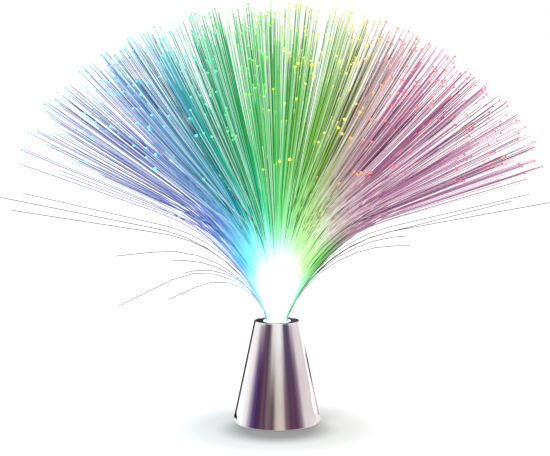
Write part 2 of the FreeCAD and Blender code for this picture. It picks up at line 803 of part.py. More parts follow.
def main():
    os.makedirs("parts", exist_ok=True)
    save("base_shell", base_shell())
    save("top_collar", top_collar())
    save("light_hood", light_hood())
    save("ferrule", ferrule())

    bands, loose = fibres()
    for colour, band in zip(("blue", "green", "yellow", "red"), bands):
        save(f"fibres_{colour}", *band)
    save("fibres_loose", *loose)

    save("led_board", led_board())
    for colour, x in zip(("blue", "green", "yellow", "red"), led_places()):
        save(f"led_{colour}", led(x))
    save("led_leads", *led_leads())
    save("driver_chip", *driver_chip())
    save("resistors", *resistors())
    save("board_screws", *board_screws())

    save("bottom_cover", bottom_cover())
    save("cover_screws", *cover_screws())
    save("battery_door", battery_door())
    save("door_screw", door_screw())

    for number, (y, plus_side) in enumerate(cell_rows(), start=1):
        save(f"cell_{number}", cell(y, plus_side))
    half = contact_width / 2
    save("contact_minus", end_contact(-1, -cell_pitch))
    save("contact_plus", end_contact(1, cell_pitch))
    save("contact_bridge_left", contact_plate(-1, -half, cell_pitch + half))
    save("contact_bridge_right", contact_plate(1, -cell_pitch - half, half))
    save("contact_springs", *contact_springs())

    save("switch_case", switch_case())
    save("switch_slider", switch_slider())
    save("switch_terminals", *switch_terminals())

    plus_wire, switch_wire, minus_wire = wires()
    save("wire_plus", plus_wire)
    save("wire_switch", switch_wire)
    save("wire_minus", minus_wire)


main()
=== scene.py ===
# %% [markdown]
# # A fibre lamp, step by step
# This lesson dresses a battery lamp: a chrome cone holds a bundle of 900 plastic light guides
# that fan out into a dome. The measured model comes first and stays fixed. Each piece that shows
# is then modelled over it, or keeps its measured shape and gets a finish.

# %% The measured model
import math

import bmesh
import bpy
import numpy as np
from mathutils import Matrix, Vector


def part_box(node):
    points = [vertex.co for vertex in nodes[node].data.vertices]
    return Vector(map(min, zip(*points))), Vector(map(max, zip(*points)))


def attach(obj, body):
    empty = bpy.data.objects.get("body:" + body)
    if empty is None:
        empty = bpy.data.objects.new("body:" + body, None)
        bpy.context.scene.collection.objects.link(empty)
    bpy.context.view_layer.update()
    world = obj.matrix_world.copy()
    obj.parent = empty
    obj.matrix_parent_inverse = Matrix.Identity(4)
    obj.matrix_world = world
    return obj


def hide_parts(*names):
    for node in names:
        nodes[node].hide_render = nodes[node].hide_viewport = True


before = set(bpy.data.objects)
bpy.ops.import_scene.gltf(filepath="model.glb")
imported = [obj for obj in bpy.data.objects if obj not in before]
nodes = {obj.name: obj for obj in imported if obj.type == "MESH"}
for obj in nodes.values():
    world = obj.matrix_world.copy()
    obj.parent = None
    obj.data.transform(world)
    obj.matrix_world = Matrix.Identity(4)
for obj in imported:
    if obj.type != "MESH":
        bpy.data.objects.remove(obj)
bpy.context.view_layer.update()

# %% [markdown]
# ## Sizes
# A lamp is drawn in millimetres, and Blender counts in metres. The sizes below are the ones that the
# new pieces share with the measured model, so every piece lands in its place without fitting.

# %% Shared sizes, in millimetres
MM = 0.001
base_dia = 70.0
top_dia = 36.0
shell_height = 81.5
shell_wall = 1.6
collar_top = 80.9
collar_plate = 2.5
collar_skirt = 12.0
collar_wall = 1.6
ferrule_dia = 21.6
ferrule_top = 81.4
ferrule_foot = 53.4
bundle_bore = 17.0
mouth_depth = 2.0
mouth_flare = 0.6
board_top = 46.0
cover_top = 3.2
lip_width = 0.6          # chrome that shows round the collar
rebate_floor = 80.3

taper = (base_dia - top_dia) / 2 / shell_height
wall_across = shell_wall * math.hypot(1, taper)


def shell_outer(z):
    """Outer radius of the cone at height z."""
    return base_dia / 2 - taper * z


def shell_inner(z):
    """Inner radius of the cone at height z."""
    return shell_outer(z) - wall_across


def polar(radius, azimuth):
    """x and y of a point at this distance from the axis. The azimuth is in radians from +X."""
    return radius * math.cos(azimuth), radius * math.sin(azimuth)


print("cone: %.1f mm across at its foot" % (2 * shell_outer(0)))
print("cone: %.1f mm across at its top" % (2 * shell_outer(shell_height)))

# %% [markdown]
# ## The camera
# A long lens keeps the cone's sides nearly straight. The camera stands 1.2 m away, a little above the
# spray's middle, and looks slightly down, so the top of the base shows as a thin ellipse.

# %% Camera
camera_distance = 1200.0
camera_height = 290.0
aim_height = 155.0
aim_side = -1.6
pixels_per_mm = 1.27
frame_width = 550

camera_data = bpy.data.cameras.new("camera")
camera = bpy.data.objects.new("camera", camera_data)
bpy.context.scene.collection.objects.link(camera)
bpy.context.scene.camera = camera
spot = Vector((aim_side, -camera_distance, camera_height)) * MM
aim = Vector((aim_side, 0, aim_height)) * MM
camera.location = spot
camera.rotation_euler = (aim - spot).to_track_quat("-Z", "Y").to_euler()
focal_pixels = pixels_per_mm * (aim - spot).length / MM
camera_data.sensor_width = 36.0
camera_data.lens = focal_pixels / frame_width * camera_data.sensor_width
camera_data.clip_start = 0.01
camera_data.clip_end = 50.0
print("lens: %.1f mm" % camera_data.lens)

# %% [markdown]
# ## Writing finishes as sums
# A finish in Blender is a graph of nodes. Graphs are hard to read in a script, so one small class wraps
# an output socket and lets Python's own operators add the Math nodes. Colours are written as a screen
# shows them, and turned into the linear numbers that nodes use.


# %% Shader sums
def paint(red, green, blue):
    """A colour as a screen shows it, 0 to 255, turned into the linear numbers that nodes use."""
    def linear(value):
        value /= 255
        return value / 12.92 if value <= 0.04045 else ((value + 0.055) / 1.055) ** 2.4

    return (linear(red), linear(green), linear(blue), 1.0)


def shifted(colour, times, plus=0.0):
    """A lighter or a darker version of a colour."""
    return tuple(min(1.0, channel * times + plus) for channel in colour[:3]) + (1.0,)


def hues(*stops, start=0.0, span=1.0):
    """Stops for a colour ramp, from rows of place, red, green and blue."""
    return [((place - start) / span, paint(*colour)) for place, *colour in stops]


def operator(operation, reflected=False):
    """One of Python's operators, as a method that adds a Math node. 1 - mask calls the reflected one."""
    def work(signal, other):
        return signal.math(operation, *((other, signal) if reflected else (signal, other)))
    return work


class Signal:
    """One output socket, with Python's operators for its maths."""

    def __init__(self, graph, socket):
        self.graph = graph
        self.socket = socket

    def math(self, operation, *others, clamp=False):
        return self.graph.node("ShaderNodeMath", {"operation": operation, "use_clamp": clamp}, *others)

    __add__, __radd__ = operator("ADD"), operator("ADD", True)
    __sub__, __rsub__ = operator("SUBTRACT"), operator("SUBTRACT", True)
    __mul__, __rmul__ = operator("MULTIPLY"), operator("MULTIPLY", True)
    __truediv__, __rtruediv__ = operator("DIVIDE"), operator("DIVIDE", True)

    def sine(self):
        return self.math("SINE", self)

    def size(self):
        return self.math("ABSOLUTE", self)

    def held(self):
        """The same number, kept between 0 and 1."""
        return self.math("ADD", self, 0.0, clamp=True)

    def above(self, limit):
        return self.math("GREATER_THAN", self, limit)

    def ease(self, low, high, start=0.0, end=1.0):
        """Goes smoothly from start to end as the signal goes from low to high."""
        settings = {"interpolation_type": "SMOOTHSTEP"}
        return self.graph.node("ShaderNodeMapRange", settings, self, low, high, start, end)


print("a screen's middle grey is %.3f in linear light" % paint(128, 128, 128)[0])

# %% [markdown]
# ## Graphs and finishes
# A second class holds a graph: its node method adds any other node by name, with its settings first and
# its inputs after them. A finish is a graph that ends in one Principled surface, and it has short names
# for the nodes that many finishes use.


# %% Graphs and finishes
class Graph:
    """A tree of shader nodes."""

    def __init__(self, tree):
        self.tree = tree

    def join(self, value, socket):
        if isinstance(value, Signal):
            self.tree.links.new(value.socket, socket)
        elif value is not None:
            socket.default_value = value

    def node(self, kind, settings=None, *values, output=0, **named):
        """Adds a node. Its inputs come in order, where None skips one, or by name with _ for a space."""
        made = self.tree.nodes.new(kind)
        for name, value in (settings or {}).items():
            if name == "stops":
                self.fill_ramp(made.color_ramp, value)
            else:
                setattr(made, name, value)
        for value, socket in zip(values, made.inputs):
            self.join(value, socket)
        for name, value in named.items():
            self.join(value, made.inputs[name.replace("_", " ")])
        return Signal(self, made.outputs[output])

    def fill_ramp(self, ramp, stops):
        while len(ramp.elements) > 1:
            ramp.elements.remove(ramp.elements[-1])
        for index, (place, colour) in enumerate(stops):
            element = ramp.elements[0] if index == 0 else ramp.elements.new(place)
            element.position = place
            element.color = colour

    def in_view(self):
        """1 for what the camera sees, straight or in a mirror or through glass, and 0 for light on things."""
        rays = self.node("ShaderNodeLightPath").socket.node.outputs
        kinds = ("Is Camera Ray", "Is Glossy Ray", "Is Transmission Ray")
        camera_ray, *others = [Signal(self, rays[kind]) for kind in kinds]
        return sum(others, camera_ray).held()


class Finish(Graph):
    """A material whose graph ends in one Principled surface."""

    def __init__(self, name, **surface):
        self.material = bpy.data.materials.new(name)
        self.material.use_nodes = True
        super().__init__(self.material.node_tree)
        self.tree.nodes.clear()
        self.surface = self.tree.nodes.new("ShaderNodeBsdfPrincipled")
        output = self.tree.nodes.new("ShaderNodeOutputMaterial")
        self.tree.links.new(self.surface.outputs[0], output.inputs[0])
        self.set(**surface)

    def set(self, **inputs):
        """Sets the surface's own sockets. Base_Color stands for Base Color."""
        for name, value in inputs.items():
            self.join(value, self.surface.inputs[name.replace("_", " ")])

    def place(self):
        """Object coordinates, in metres."""
        return self.node("ShaderNodeTexCoord", output=3)

    def along(self, axis):
        """One of the object coordinates, by its letter."""
        return self.node("ShaderNodeSeparateXYZ", None, self.place(), output="XYZ".index(axis))

    def stretched(self, x, y, z):
        """Object coordinates scaled along each axis, for grain that runs one way."""
        return self.node("ShaderNodeMapping", Vector=self.place(), Scale=(x, y, z))

    def noise(self, scale, detail=2.0, roughness=0.5, where=None):
        where = self.place() if where is None else where
        return self.node("ShaderNodeTexNoise", Vector=where, Scale=scale, Detail=detail,
                         Roughness=roughness)

    def mix(self, share, first, second):
        """First colour where share is 0, second where it is 1."""
        skipped = [None] * 5     # the node's inputs for mixing numbers and vectors
        return self.node("ShaderNodeMix", {"data_type": "RGBA"}, share, *skipped, first, second, output=2)

    def ramp(self, value, stops):
        return self.node("ShaderNodeValToRGB", {"stops": stops}, value)

    def attribute(self, name):
        return self.node("ShaderNodeAttribute", {"attribute_name": name}, output=2)

    def bump(self, height, distance, strength=1.0, normal=None):
        return self.node("ShaderNodeBump", Strength=strength, Distance=distance, Height=height,
                         Normal=normal)

    def soft_edges(self, radius):
        """Rounds the shading at sharp edges, as a mould's own small radius does."""
        return self.node("ShaderNodeBevel", {"samples": 6}, Radius=radius * MM)


def dress(name, material):
    """Gives a measured node its finish."""
    slots = nodes[name].data.materials
    slots.clear()
    slots.append(material)


print("finishes ready")

# %% [markdown]
# ## The studio
# Chrome has no colour of its own: it shows the room. So the room is built first. The floor is a large
# pale sheet with a painted shadow that darkens it in front of the cone's foot, and it is lifted to white
# away from it. A white sky lights everything softly.


# %% Floor and sky
pure_black, pure_white = (0, 0, 0, 1), (1, 1, 1, 1)


def put(name, bm, material, smooth_under=None):
    """Makes an object of a finished bmesh. Edges flatter than smooth_under degrees are shaded round."""
    mesh = bpy.data.meshes.new(name)
    bm.to_mesh(mesh)
    bm.free()
    mesh.materials.append(material)
    if smooth_under is not None:
        mesh.shade_smooth()
        mesh.set_sharp_from_angle(angle=math.radians(smooth_under))
    made = bpy.data.objects.new(name, mesh)
    bpy.context.scene.collection.objects.link(made)
    return made


def make_floor():
    finish = Finish("floor_paper", Roughness=0.9, Specular_IOR_Level=0.0, Emission_Strength=1.0)
    # The middle of a painted shadow, a little in front of the cone's foot.
    painted_shadow_middle = (0.0, -0.028, 0.0)
    away = finish.node("ShaderNodeVectorMath", {"operation": "DISTANCE"}, finish.place(), painted_shadow_middle,
                       output=1)
    lifted = finish.mix(away.ease(0.045, 0.12, 0.0, 0.42), pure_black, pure_white)
    # The base colour is a painted shadow: dark grey within a few centimetres of that middle, pale beyond it.
    finish.set(Base_Color=finish.mix(away.ease(0.022, 0.052), paint(165, 164, 164), paint(247, 246, 246)),
               Emission_Color=finish.mix(finish.in_view(), pure_black, lifted))
    bm = bmesh.new()
    bmesh.ops.create_grid(bm, x_segments=1, y_segments=1, size=25.0)
    floor = put("floor", bm, finish.material)


def make_sky():
    """A white sky that lights things a little less brightly than it looks."""
    world = bpy.data.worlds.new("studio")
    bpy.context.scene.world = world
    world.use_nodes = True
    graph = Graph(world.node_tree)
    sky = graph.tree.nodes["Background"]
    graph.join(pure_white, sky.inputs["Color"])
    strength = graph.node("ShaderNodeMapRange", None, graph.in_view(), 0.0, 1.0, 0.78, 1.0)
    graph.join(strength, sky.inputs["Strength"])


make_floor()
make_sky()
bpy.context.scene.view_settings.view_transform = "Standard"
print("floor and sky ready")

# %% [markdown]
# ## Boards
# Boards round the lamp are seen only in reflections. Each is a row of points, spun part of a turn about
# the lamp's axis. It glows by itself, so its colours don't depend on the lamps.


# %% Curved boards
def glow_material(name, colour_of):
    """A plain light source whose colour is worked out by colour_of."""
    finish = Finish(name, Base_Color=pure_black, Roughness=1.0, Specular_IOR_Level=0.0,
                    Emission_Strength=1.0)
    finish.set(Emission_Color=colour_of(finish))
    return finish.material


def make_board(name, start, end, corners, colour_of):
    """A curved board: a row of (radius, height) in metres, spun from azimuth start to end.

    Azimuths are in degrees, from the camera's side towards +X."""
    bm = bmesh.new()
    angle = math.radians(start)
    row = [bm.verts.new((radius * math.sin(angle), -radius * math.cos(angle), z)) for radius, z in corners]
    edges = [bm.edges.new(pair) for pair in zip(row, row[1:])]
    bmesh.ops.spin(bm, geom=row + edges, cent=(0, 0, 0), axis=(0, 0, 1),
                   angle=math.radians(end - start), steps=24, use_duplicate=False)
    board = put(name, bm, glow_material(name, colour_of))
    for kind in ("camera", "diffuse", "transmission", "shadow"):
        setattr(board, "visible_" + kind, False)


def azimuth_of(finish):
    """Degrees round the axis, from the camera's side towards +X."""
    x, y = finish.along("X"), finish.along("Y")
    return x.math("ARCTAN2", x, 0 - y) * (180 / math.pi)


print("board maker ready")

# %% [markdown]
# ## Stripes, flags and lamps
# The board in front carries the violet and cream stripes that run down the cone, and a second one lies
# on the floor for views from higher up. Small flags close behind the lamp draw the thin dark lines along
# its sides, and strips beside its foot carry them on. Two soft lamps light everything else.


# %% Stripes, flags and lamps
def stripes(finish):
    """Stripes by azimuth: one row of stops for the cone's foot, one for its top."""
    start, span = -110, 240
    foot = [(-104, 255, 253, 249), (-92, 240, 234, 236), (-84, 190, 178, 196), (-72, 100, 78, 124),
            (-60, 70, 46, 92), (-50, 80, 54, 82), (-42, 104, 80, 98), (-36, 88, 64, 84),
            (-28, 124, 106, 112), (-20, 116, 96, 102), (-13, 96, 78, 84), (-9, 128, 112, 110),
            (-2, 204, 191, 182), (10, 218, 206, 196), (17, 206, 192, 184), (24, 126, 104, 110),
            (32, 108, 84, 102), (38, 90, 62, 86), (46, 98, 70, 96), (53, 88, 60, 90),
            (61, 112, 86, 110), (70, 150, 132, 146), (80, 226, 216, 218), (104, 238, 229, 229),
            (128, 228, 220, 220)]
    top = [(-104, 255, 255, 252), (-76, 250, 247, 242), (-66, 206, 200, 202), (-54, 122, 108, 124),
           (-44, 96, 80, 100), (-37, 84, 70, 86), (-28, 132, 122, 128), (-19, 232, 230, 224),
           (0, 250, 249, 246), (14, 250, 249, 250), (24, 214, 211, 216), (31, 100, 94, 124),
           (46, 82, 74, 110), (55, 124, 110, 140), (66, 240, 232, 234), (104, 246, 242, 238),
           (128, 250, 246, 242)]
    share = (azimuth_of(finish) - start) / span
    rows = [finish.ramp(share, hues(*row, start=start, span=span)) for row in (foot, top)]
    top_low, top_high = 0.15, 0.27     # the foot's row gives way to the top's between these heights
    return finish.mix(finish.along("Z").ease(top_low, top_high), *rows)


def back_stripes(finish):
    return finish.ramp(finish.along("Z"), hues((0.405, 74, 50, 90), (0.855, 136, 120, 146)))


flag_black, flag_grey = (0.004, 0.004, 0.005, 1.0), paint(196, 189, 192)
flag_pale, flag_edge = paint(250, 247, 246), paint(246, 242, 242)
flag_radius, flag_height = 0.085, 0.11
flag_fade = 10           # degrees


def soft_flag(middle, reach, heights):
    """A dark flag that fades out at its sides, with its tones by height as a share of flag_height."""
    def colour_of(finish):
        side = (azimuth_of(finish) - middle).size().ease(reach - flag_fade, reach)
        return finish.mix(side, finish.ramp(finish.along("Z") / flag_height, heights), flag_edge)
    return colour_of


def plain(colour):
    return lambda finish: colour


back_wall = [(1.6, 0.45), (1.6, 0.95)]
round_foot = [(0.0355, 0.0004), (flag_radius, 0.0004)]
for board in (
        ("board_front", -104, 126, [(0.8, 0.0), (0.8, 0.6)], stripes),
        ("board_front_floor", -104, 118, [(0.1, 0.0005), (0.8, 0.0005)], stripes),
        ("board_back_left", -152, -128, back_wall, back_stripes),
        ("board_back_right", 134, 166, back_wall, back_stripes),
        ("flag_left", -176, -122, [(flag_radius, 0.0), (flag_radius, flag_height)],
         soft_flag(-149, 27, [(0.0, flag_black)])),
        ("flag_left_floor", -176, -104, round_foot, soft_flag(-145, 41, [(0.0, flag_black)])),
        ("pale_left_floor", -104, -92, round_foot, plain(flag_pale)),
        ("flag_right", 126, 174, [(flag_radius, 0.0), (flag_radius, flag_height / 2)],
         soft_flag(150, 24, [(0.17, flag_grey), (0.25, flag_black), (0.40, flag_black), (0.48, flag_edge)])),
        ("flag_right_floor", 122, 172, round_foot, plain(flag_grey)),
        ("pale_right_floor", 92, 122, round_foot, plain(flag_pale))):
    make_board(*board)

lit_spot = Vector((0, 0, 0.15))
for name, place, power, size in (
        ("key_light", (-1.1, -1.3, 1.6), 13.0, 1.1), ("fill_light", (1.5, -0.6, 1.1), 5.0, 1.3)):
    data = bpy.data.lights.new(name, "AREA")
    data.energy = power
    data.size = size
    light = bpy.data.objects.new(name, data)
    light.location = place
    light.rotation_euler = (lit_spot - Vector(place)).to_track_quat("-Z", "Y").to_euler()
    bpy.context.scene.collection.objects.link(light)
print("studio ready")

# %% [markdown]
# ## Turned pieces
# Most of this lamp's hard parts are round: the cone, the collar, the ferrule, the cells. Each is half a
# section, turned a full circle, so one helper spins any closed row of corners. Screw posts are short
# pipes on axes of their own. The turned corners are sharp, so another helper finds the rings where the
# surface breaks and bevels them.


# %% Spin and bevel
def turned(bm, corners, steps=96, centre=(0.0, 0.0)):
    """Turns a row of (radius, height) corners, in millimetres, about an upright axis at centre.

    The row is closed, unless it starts and ends on the axis."""
    x, y = centre
    row = [bm.verts.new(((x + radius) * MM, y * MM, z * MM)) for radius, z in corners]
    edges = [bm.edges.new(pair) for pair in zip(row, row[1:] + row[:1])]
    if corners[0][0] == corners[-1][0] == 0:
        bm.edges.remove(edges.pop())
    bmesh.ops.spin(bm, geom=row + edges, cent=(x * MM, y * MM, 0), axis=(0, 0, 1),
                   angle=2 * math.pi, steps=steps, use_merge=True, use_duplicate=False)
    bmesh.ops.remove_doubles(bm, verts=bm.verts[:], dist=1e-7)


def pipe(bm, bore, radius, low, high, steps, centre):
    """A piece of pipe that stands on an axis of its own."""
    turned(bm, [(bore, low), (radius, low), (radius, high), (bore, high)], steps, centre)


def soften(bm, width, steepest=30.0, segments=3, pick=lambda edge: True):
    """Bevels the edges where two faces meet at more than the given angle."""
    limit = math.radians(steepest)
    edges = [edge for edge in bm.edges
             if len(edge.link_faces) == 2 and edge.calc_face_angle(0.0) > limit and pick(edge)]
    bmesh.ops.bevel(bm, geom=edges, offset=width * MM, offset_type="OFFSET", affect="EDGES",
                    segments=segments, profile=0.5, material=-1, clamp_overlap=True)


def facing_out(bm):
    bmesh.ops.recalc_face_normals(bm, faces=bm.faces[:])


def tell(bm, what):
    print("  %d faces, %d corners in %s" % (len(bm.faces), len(bm.verts), what))


# %% [markdown]
# ## The chrome cone
# The real base is spun or moulded thin and plated, so its skin is smooth and its edges are small and
# round. 160 steps keep the reflections free of facets. Four screw bosses stand inside, and their corners
# are pulled in where they would come through the wall. Chrome is a metal with a little violet in it,
# nearly no roughness, and the faint smears that a hand leaves.


# %% Chrome finish and cone
def make_chrome():
    finish = Finish("chrome_plate", Metallic=1.0)
    smear = finish.noise(1.0, 3.0, 0.6, finish.stretched(38, 38, 14)).ease(0.42, 0.72)
    grain = finish.noise(900)
    finish.set(Base_Color=finish.mix(smear, paint(246, 243, 244), paint(234, 229, 233)),
               Roughness=0.05 + smear * 0.05 + grain * 0.02,
               Normal=finish.bump(grain, 0.00001, 0.15))
    return finish.material


rings = [0, 1.4, 20, 40, 60]     # heights where the cone's wall has a ring of corners
foot_rounding = 0.5
lip_rounding = 0.22
boss_bore = 1.25
boss_radius = 3.0
boss_height = 12.8
boss_inset = 2.9                 # from the wall's inside to a boss's axis
boss_skin = 0.8                  # what a boss leaves of the wall's thickness


def make_cone():
    bm = bmesh.new()
    rebate = shell_outer(shell_height) - lip_width
    turned(bm, [(shell_outer(z), z) for z in rings + [80.0, shell_height]]
           + [(rebate, shell_height), (rebate, rebate_floor), (shell_inner(rebate_floor), rebate_floor)]
           + [(shell_inner(z), z) for z in [79.0] + rings[::-1]], steps=160)
    soften(bm, foot_rounding, pick=lambda edge: edge.verts[0].co.z < MM)
    soften(bm, lip_rounding, steepest=45, pick=lambda edge: edge.verts[0].co.z > 70 * MM)
    facing_out(bm)
    bosses = bmesh.new()
    boss_circle = shell_inner(cover_top) - boss_inset
    for degrees in (60, 120, 240, 300):
        pipe(bosses, boss_bore, boss_radius, cover_top, cover_top + boss_height, steps=24,
             centre=polar(boss_circle, math.radians(degrees)))
    for vert in bosses.verts:
        most = (shell_outer(vert.co.z / MM) - boss_skin) * MM
        far = vert.co.xy.length
        if far > most:
            vert.co.xy *= most / far
    facing_out(bosses)
    inside = bpy.data.meshes.new("bosses")
    bosses.to_mesh(inside)
    bosses.free()
    bm.from_mesh(inside)
    tell(bm, "the cone")
    return put("chrome_cone", bm, make_chrome(), smooth_under=35)


chrome_cone = make_cone()
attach(chrome_cone, "base")
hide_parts("base_shell")

# %% [markdown]
# ## The black collar
# A moulded ring closes the cone's top. Its face lies in the cone's rebate, its skirt grips the cone from
# inside, and the tube in its middle holds the ferrule. All of that is one section, spun. Only the groove
# for the ferrule's key and the two pillars aren't round: the groove is made by moving a few corners of
# the finished tube outwards. The plastic is satin black, with the fine grain of an etched mould.


# %% Moulded plastic
def etching(finish):
    return finish.noise(2600, 2.0, 0.6)


def moulded(name, colour, roughness=0.45, grain=0.35, specular=0.3, soft=0.25):
    """Plastic with an etched grain, cloudy gloss, and edges as round as a mould leaves them."""
    finish = Finish(name, Specular_IOR_Level=specular)
    etched = etching(finish)
    cloud = finish.noise(60, 3.0, 0.5).ease(0.35, 0.65)
    pale = shifted(colour, 1.35, 0.004)
    finish.set(Base_Color=finish.mix(cloud * 0.5 + etched * 0.25, colour, pale),
               Roughness=roughness - 0.05 + cloud * 0.1,
               Normal=finish.bump(etched, 0.00003, grain, finish.soft_edges(soft)))
    return finish


def push_out(bm, radius, half, reach, low, high):
    """Moves the corners on a round wall, within half a width of +Y, out to a flat face at reach."""
    slack, rounding = 0.03 * MM, 1e-6
    near = [vert for vert in bm.verts
            if abs(vert.co.xy.length - radius * MM) < slack and vert.co.y > 0
            and abs(vert.co.x) < half * MM and low * MM - rounding < vert.co.z < high * MM + rounding]
    most = max(abs(vert.co.x) for vert in near)
    for vert in near:
        vert.co.x *= half * MM / most
        vert.co.y = reach * MM


print("moulded plastic ready")

# %% The collar
collar_gap = 0.05        # between the collar and the cone
tube_wall = 1.8
ferrule_play = 0.1       # between the ferrule and the tube
key_half = 1.5
key_reach = 11.8
groove_step = 0.2        # the tube's last ring below the groove
pillar_bore = 1.05
pillar_radius = 2.7
pillar_length = 8
pillar_place = 14.6      # from the lamp's axis to a pillar's


def make_collar():
    bm = bmesh.new()
    face = shell_outer(shell_height) - lip_width - collar_gap
    under = collar_top - collar_plate
    foot = under - collar_skirt
    bore = ferrule_dia / 2 + ferrule_play
    tube = bore + tube_wall
    at_rebate, at_foot, at_under = [shell_inner(z) - collar_gap for z in (rebate_floor, foot, under)]
    turned(bm, [(bore, collar_top), (face, collar_top), (face, rebate_floor + collar_gap),
                (at_rebate, rebate_floor + collar_gap), (at_foot, foot), (at_foot - collar_wall, foot),
                (at_under - collar_wall, under), (tube, under), (tube, board_top), (bore, board_top),
                (bore, ferrule_foot - groove_step), (bore, ferrule_foot)])
    push_out(bm, bore, key_half + ferrule_play, key_reach + ferrule_play, ferrule_foot, collar_top)
    soften(bm, 0.18, segments=2)
    for side in (-1, 1):
        pipe(bm, pillar_bore, pillar_radius, board_top, board_top + pillar_length, steps=32,
             centre=(0, side * pillar_place))
    facing_out(bm)
    tell(bm, "the collar")
    return put("black_collar", bm, moulded("collar_black", paint(5, 9, 8), specular=0.03).material,
               smooth_under=35)


black_collar = make_collar()
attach(black_collar, "base")
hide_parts("top_collar")

# %% [markdown]
# ## The ferrule
# A white sleeve holds the bundle. Its face carries a painted glow, nearly as bright as the fibres there,
# for the light from the row below that soaks through it, and the painted glow fades a few millimetres
# down the sleeve. The rest of it is a cool grey-white with a faint painted glow. The mouth of its bore is
# flared, and its key is pushed out of the round wall in the same way as the collar's groove.


# %% Glowing sleeve
glow_low, glow_high = 74.5, 80.5     # the sleeve's painted glow rises between these heights


def make_ferrule():
    finish = Finish("ferrule_white", Roughness=0.4, Specular_IOR_Level=0.35, Emission_Strength=1.0)
    glow = finish.along("Z").ease(glow_low * MM, glow_high * MM)
    milk = finish.noise(220).ease(0.3, 0.7)
    shell = finish.mix(milk, paint(206, 216, 216), paint(194, 206, 208))
    # Painted glow: towards the face the base colour turns pale and an emission colour rises; lower down a
    # faint painted glow stays on the whole sleeve.
    finish.set(Base_Color=finish.mix(glow, shell, paint(244, 252, 250)),
               Emission_Color=finish.mix(glow, paint(66, 84, 86), paint(196, 222, 224)))
    bm = bmesh.new()
    radius, bore = ferrule_dia / 2, bundle_bore / 2
    turned(bm, [(bore, ferrule_foot), (radius, ferrule_foot), (radius, collar_top), (radius, ferrule_top),
                (bore + mouth_flare, ferrule_top), (bore, ferrule_top - mouth_depth)])
    push_out(bm, radius, key_half, key_reach, ferrule_foot, collar_top)
    soften(bm, 0.15, segments=2)
    facing_out(bm)
    tell(bm, "the ferrule")
    return put("ferrule_sleeve", bm, finish.material, smooth_under=35)


ferrule_sleeve = make_ferrule()
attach(ferrule_sleeve, "spray")
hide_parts("ferrule")

# %% [markdown]
# ## The spray: where each fibre goes
# 900 plastic guides stand side by side in the ferrule. Each one leans the further, the nearer it stands
# to the bundle's rim. The numbers here are the measured model's own, so the fibres that show lie on the
# measured ones. Real fibres also cling together in locks, so each leans a little towards a neighbour
# that leads its lock.

# %% Sizes of the spray
fibre_dia = 0.5
fibre_pitch = fibre_dia + 0.02
fibre_length = 250.0
length_scatter = 0.16
mouth_run = ferrule_top - mouth_depth - ferrule_foot
mouth_bend_length = 10.0
mouth_bend = math.radians(26.0)
arch_length = 125.0
arch_bend = math.radians(46.0)
rim_reserve = 0.16
rim_power = 6
ripple_lobes = 7         # the dome's rim waves a little
ripple = 0.02
lopsided = 0.03          # and leans a little towards +X
swirl = math.radians(10.0)
swirl_waves = 1.5        # from the bundle's middle to its rim
lock_count = 150
lock_pull = 0.4
lock_turn = 137.508      # degrees, which spreads points evenly
band_edges = (-28.0, 4.0, 21.0)      # degrees from upright, where one colour's fibres end
loose_band = 4                       # the coloured bands are 0 to 3
bundle_reach = bundle_bore / 2 - fibre_dia / 2 - 0.05
# Where a loose fibre stands in degrees, its bend in degrees, the bend's radius and the straight end
loose_fibres = [(180, 96, 85, 32), (191, 93, 75, 2), (184, 116, 55, 45), (168, 107, 54, 2),
                (174, 115, 40, 25), (2, 86, 105, 6), (-7, 89, 95, 10), (162, 80, 118, 128),
                (197, 77, 128, 130), (203, 79, 122, 118), (9, 77, 112, 108), (-16, 78, 125, 130),
                (15, 79, 118, 122)]
print("bundle: %.2f mm from its middle to its rim" % bundle_reach)


# %% Places in the bundle
def bundle_places():
    """Fibre centres: a hexagonal lattice trimmed to the bore."""
    row_height = fibre_pitch * math.sqrt(3) / 2
    rows = int(bundle_reach / row_height) + 1
    columns = int(bundle_reach / fibre_pitch) + 1
    places = []
    for row in range(-rows, rows + 1):
        shift = 0.0 if row % 2 else fibre_pitch / 2
        y = (row - 1 / 3) * row_height
        for column in range(-columns, columns + 1):
            x = column * fibre_pitch + shift
            if math.hypot(x, y) <= bundle_reach:
                places.append((x, y))
    return places


def scatter(x, y):
    """A fixed number from 0 to 1 for each place, with no visible order."""
    value = math.sin(x * 12.9898 + y * 78.233) * 43758.5453
    return value - math.floor(value)


def lock_middles():
    """Where the locks point, evenly spread over the unit disc and then shaken."""
    middles = []
    shake = 0.7 / math.sqrt(lock_count)
    for index in range(lock_count):
        share = math.sqrt((index + 0.5) / lock_count)
        x, y = polar(share, math.radians(lock_turn * index))
        middles.append((x + shake * (2 * scatter(index, 1) - 1), y + shake * (2 * scatter(index, 2) - 1)))
    return middles


locks = lock_middles()


def way_out(x, y):
    """(azimuth, share of the full bend) of the fibre at this place, drawn towards its lock."""
    azimuth = math.atan2(y, x)
    place = math.hypot(x, y) / bundle_reach
    share = place * (1 - rim_reserve + rim_reserve * place ** rim_power)
    share *= (1 + ripple * math.sin(ripple_lobes * azimuth)) * (1 + lopsided * math.cos(azimuth))
    azimuth += swirl * math.sin(2 * math.pi * swirl_waves * place)
    out_x, out_y = polar(share, azimuth)
    lock_x, lock_y = min(locks, key=lambda lock: math.dist(lock, (out_x, out_y)))
    out_x += lock_pull * (lock_x - out_x)
    out_y += lock_pull * (lock_y - out_y)
    return math.atan2(out_y, out_x), math.hypot(out_x, out_y)


def band_of(azimuth, share):
    """Which light-emitting diode, from 0 to 3, lights a fibre that leans this way."""
    lean = (mouth_bend + arch_bend) * share
    seen = math.degrees(math.atan2(math.sin(lean) * math.cos(azimuth), math.cos(lean)))
    return sum(seen > edge for edge in band_edges)


